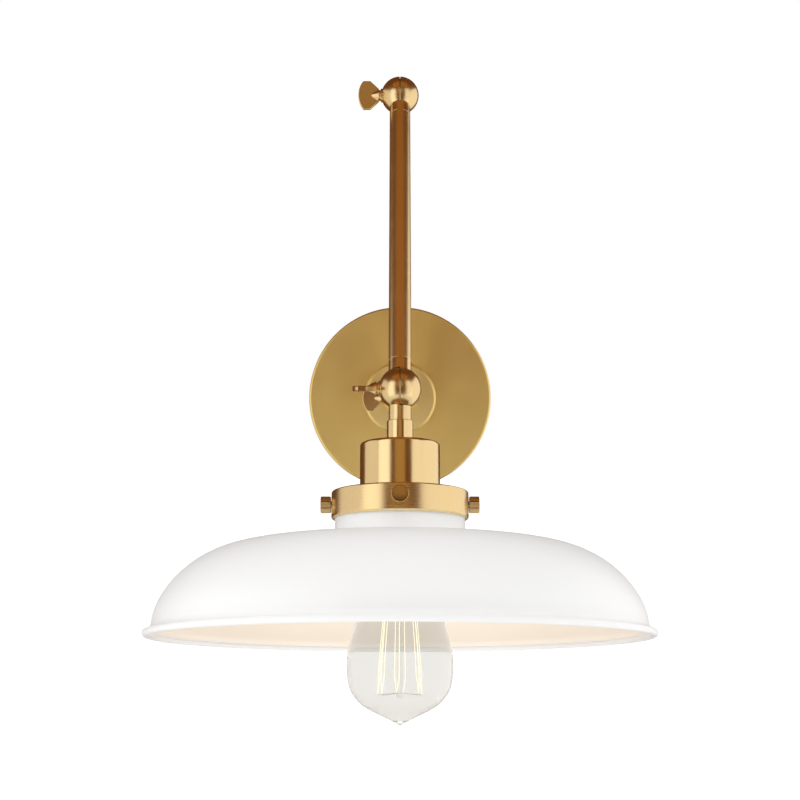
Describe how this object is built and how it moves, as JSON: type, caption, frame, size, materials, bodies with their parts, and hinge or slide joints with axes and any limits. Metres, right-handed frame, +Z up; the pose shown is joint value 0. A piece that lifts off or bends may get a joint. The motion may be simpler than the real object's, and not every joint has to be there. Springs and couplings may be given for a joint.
{
  "type": "swing arm wall sconce",
  "caption": "Wall lamp with a round plate, two brass arms on thumbscrewed split-ball joints and a wide shallow metal shade over a clear pear-shaped bulb.",
  "frame": {"origin": "middle of the wall plate on the wall face, which is also the middle of the mounting strap's two slots", "axes": "+Y into the wall, +Z up, +X to the right for a person facing the wall; every joint pin lies along X"},
  "size_m": [0.3099, 0.4975, 0.4285],
  "materials": {
    "satin_brass": "satin brushed, lacquered",
    "polished_brass": "polished, lacquered",
    "zinc_steel": "bright zinc plate",
    "green_steel": "green plated screw",
    "joint_washer": "thin fibre washer",
    "wire_sleeve": "black sleeve",
    "shade_enamel": "satin white outside, warm white inside",
    "lampholder_moulding": "moulded black",
    "nickelled_brass": "nickelled",
    "spring_brass": "bare sheet brass",
    "black_glass": "black glass insulator",
    "solder": "dull solder",
    "clear_glass": "clear blown glass",
    "support_wire": "drawn wire",
    "carbon_filament": "pale filament strand"
  },
  "bodies": {
    "wall": {"wall_plate": "satin_brass", "boss_disc": "satin_brass", "mounting_strap": "zinc_steel", "plate_set_screws": "zinc_steel", "ground_screw": "green_steel", "lock_washer": "zinc_steel", "wall_nut": "zinc_steel", "wall_knuckle": "polished_brass", "wall_joint_washer": "joint_washer"},
    "rear_arm": {"rear_arm_lower_knuckle": "polished_brass", "rear_arm_tube": "satin_brass", "rear_arm_upper_knuckle": "polished_brass", "rear_arm_wire": "wire_sleeve"},
    "front_arm": {"front_arm_upper_knuckle": "polished_brass", "front_arm_tube": "satin_brass", "front_arm_lower_knuckle": "polished_brass", "front_arm_wire": "wire_sleeve", "elbow_joint_washer": "joint_washer", "shade_joint_washer": "joint_washer"},
    "shade_head": {"shade_knuckle": "polished_brass", "stem_collar": "polished_brass", "socket_cap": "satin_brass", "cap_nut": "zinc_steel", "shade_ring": "satin_brass", "ring_screws": "polished_brass", "shade": "shade_enamel", "lampholder_body": "lampholder_moulding", "lampholder_shell": "nickelled_brass", "lampholder_contact": "spring_brass", "bulb_base": "nickelled_brass", "bulb_insulator": "black_glass", "bulb_eyelet": "solder", "bulb_glass": "clear_glass", "bulb_mount": "clear_glass", "bulb_supports": "support_wire", "bulb_filament": "carbon_filament"},
    "wall_thumbscrew": {"wall_thumbscrew": "polished_brass"},
    "elbow_thumbscrew": {"elbow_thumbscrew": "polished_brass"},
    "shade_thumbscrew": {"shade_thumbscrew": "polished_brass"}
  },
  "joints": [
    {"name": "wall_joint", "type": "hinge", "parent": "wall", "child": "rear_arm", "pos_m": [0, -0.042, 0], "axis": [1, 0, 0], "range_deg": [-25, 45]},
    {"name": "elbow_joint", "type": "hinge", "parent": "rear_arm", "child": "front_arm", "pos_m": [0, -0.17382, 0.21595], "axis": [-1, 0, 0], "range_deg": [-1, 90]},
    {"name": "shade_joint", "type": "hinge", "parent": "front_arm", "child": "shade_head", "pos_m": [0, -0.31419, 0.00546], "axis": [-1, 0, 0], "range_deg": [-60, 40]},
    {"name": "wall_thumbscrew_turn", "type": "hinge", "parent": "wall", "child": "wall_thumbscrew", "pos_m": [0, -0.042, 0], "axis": [-1, 0, 0], "range_deg": [0, 180]},
    {"name": "elbow_thumbscrew_turn", "type": "hinge", "parent": "front_arm", "child": "elbow_thumbscrew", "pos_m": [0, -0.17382, 0.21595], "axis": [-1, 0, 0], "range_deg": [0, 180]},
    {"name": "shade_thumbscrew_turn", "type": "hinge", "parent": "front_arm", "child": "shade_thumbscrew", "pos_m": [0, -0.31419, 0.00546], "axis": [-1, 0, 0], "range_deg": [0, 180]}
  ]
}
